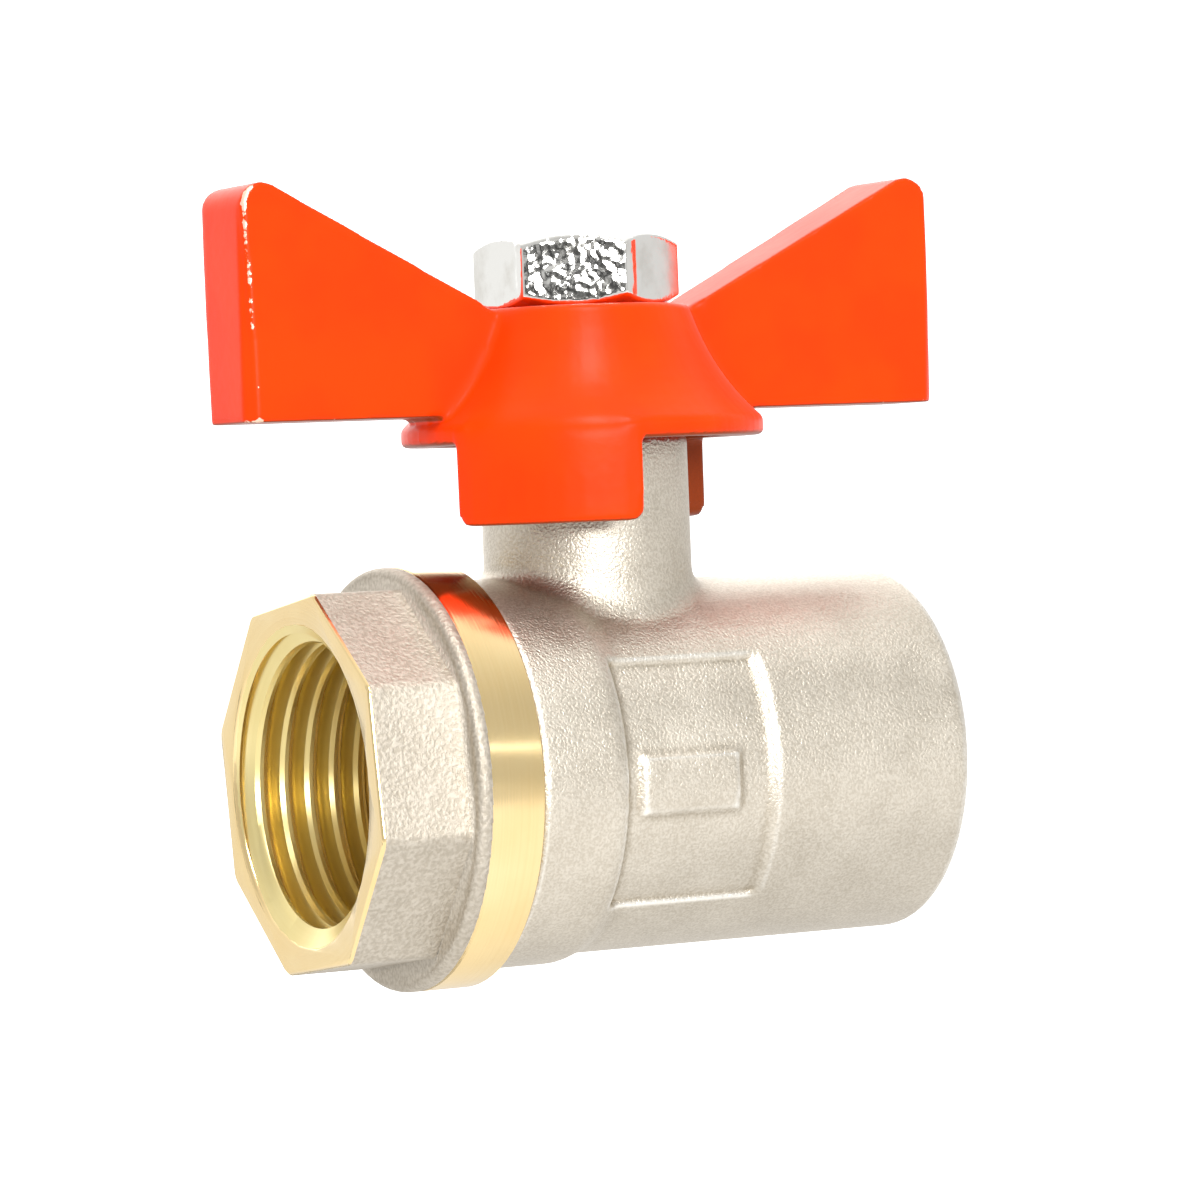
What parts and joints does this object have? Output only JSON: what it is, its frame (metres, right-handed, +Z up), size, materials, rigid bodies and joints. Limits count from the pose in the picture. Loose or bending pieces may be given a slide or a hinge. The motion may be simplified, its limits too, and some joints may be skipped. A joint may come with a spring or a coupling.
{
  "type": "ball valve",
  "caption": "Brass ball valve with female pipe ends, an octagon end adapter and a butterfly handle that turns a quarter turn.",
  "frame": {"origin": "where the pipe axis and the stem axis cross, at the ball's centre", "axes": "+X along the pipe from the octagon end adapter to the plain outlet end, +Z up the stem to the handle, -Y the side with the recessed panel that the picture shows"},
  "size_m": [0.0518, 0.028, 0.0532],
  "materials": {
    "nickel_plate": "grit-blasted nickel plate on forged brass",
    "adapter_brass": "turned brass, its octagon and collar nickel plated",
    "brass": "turned",
    "ball_chrome": "polished hard chrome on brass",
    "nut_plating": "bright plated steel",
    "orange_paint": "satin orange-red paint on die-cast aluminium",
    "ptfe": "white PTFE",
    "rubber": "black nitrile"
  },
  "bodies": {
    "housing": {"body": "nickel_plate", "end_adapter": "adapter_brass", "adapter_o_ring": "rubber", "seat_ring_inlet": "ptfe", "seat_ring_outlet": "ptfe", "thrust_washer": "ptfe", "packing_ring_lower": "ptfe", "packing_ring_upper": "ptfe", "packing_gland": "brass"},
    "spindle": {"stem": "brass", "stem_o_ring": "rubber", "handle": "orange_paint", "handle_nut": "nut_plating"},
    "ball": {"ball": "ball_chrome"}
  },
  "joints": [
    {"name": "handle_turn", "type": "hinge", "parent": "housing", "child": "spindle", "pos_m": [0, 0, 0.02], "axis": [0, 0, 1], "range_deg": [-90, 0]},
    {"name": "ball_turn", "type": "hinge", "parent": "housing", "child": "ball", "pos_m": [0, 0, 0], "axis": [0, 0, 1], "range_deg": [-90, 0]}
  ],
  "couplings": [
    {"joint": "ball_turn", "follows": "handle_turn", "ratio": 1}
  ]
}
